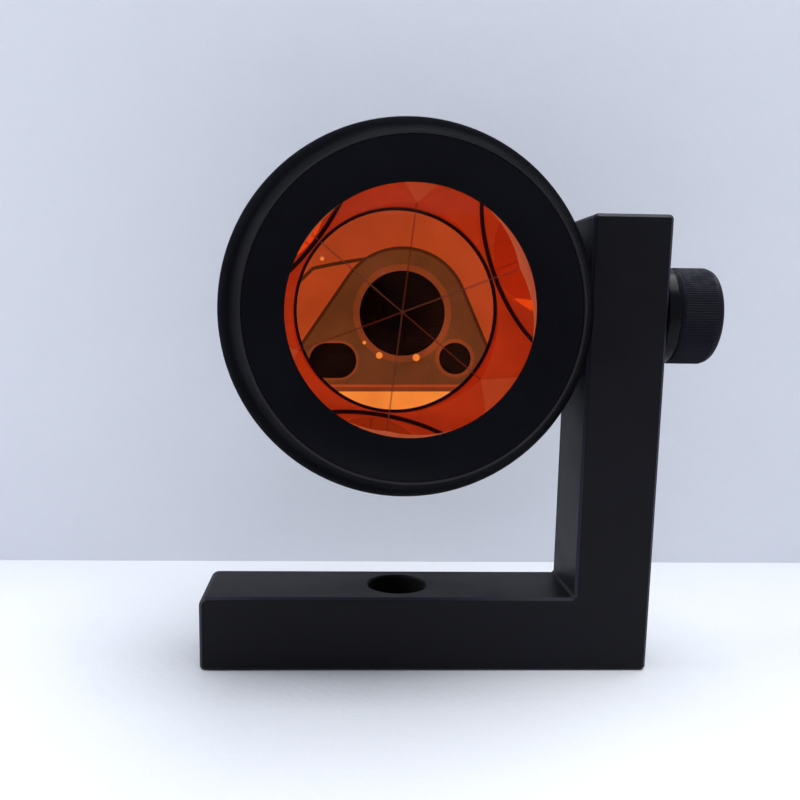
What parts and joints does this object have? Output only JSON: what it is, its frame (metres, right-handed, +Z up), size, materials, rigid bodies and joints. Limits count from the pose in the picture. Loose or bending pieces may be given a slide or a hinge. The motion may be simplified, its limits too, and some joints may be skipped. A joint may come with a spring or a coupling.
{
  "type": "survey prism",
  "caption": "Round corner-cube survey prism in a black barrel housing that tilts on an L-shaped bar and locks with a knurled side screw.",
  "frame": {"origin": "where the axis of the foot's bolt hole meets the underside of the foot", "axes": "+Z up along the bolt hole, +X from the hole towards the post and the clamp screw, the prism looks along -Y"},
  "size_m": [0.085, 0.0409, 0.0902],
  "materials": {
    "black_anodised": "satin black anodised",
    "black_anodised_satin": "satin black anodised, turned",
    "black_rubber": "matt",
    "optical_glass": "polished",
    "copper_film": "bright copper film under lacquer",
    "washer_plastic": "matt",
    "blackened_steel": "blackened, bright where smooth",
    "blackened_steel_knurled": "blackened, straight knurl"
  },
  "bodies": {
    "bracket": {"l_bracket": "black_anodised", "friction_washer": "washer_plastic"},
    "prism_head": {"housing": "black_anodised", "front_ring": "black_anodised_satin", "front_seal": "black_rubber", "prism_glass": "optical_glass", "copper_coating": "copper_film", "prism_cushion": "black_rubber"},
    "lock_washer": {"lock_washer": "blackened_steel"},
    "clamp_screw": {"clamp_screw": "blackened_steel_knurled"}
  },
  "joints": [
    {"name": "head_tilt", "type": "hinge", "parent": "bracket", "child": "prism_head", "pos_m": [0.029, 0, 0.0599], "axis": [1, 0, 0], "continuous": true},
    {"name": "screw_travel", "type": "slide", "parent": "bracket", "child": "lock_washer", "axis": [1, 0, 0], "range_m": [0, 0.00175]},
    {"name": "screw_turn", "type": "hinge", "parent": "lock_washer", "child": "clamp_screw", "pos_m": [0.048, 0, 0.0599], "axis": [1, 0, 0], "range_deg": [0, 360]}
  ],
  "couplings": [
    {"joint": "screw_travel", "follows": "screw_turn", "m_per_rad": 0.00023873}
  ]
}
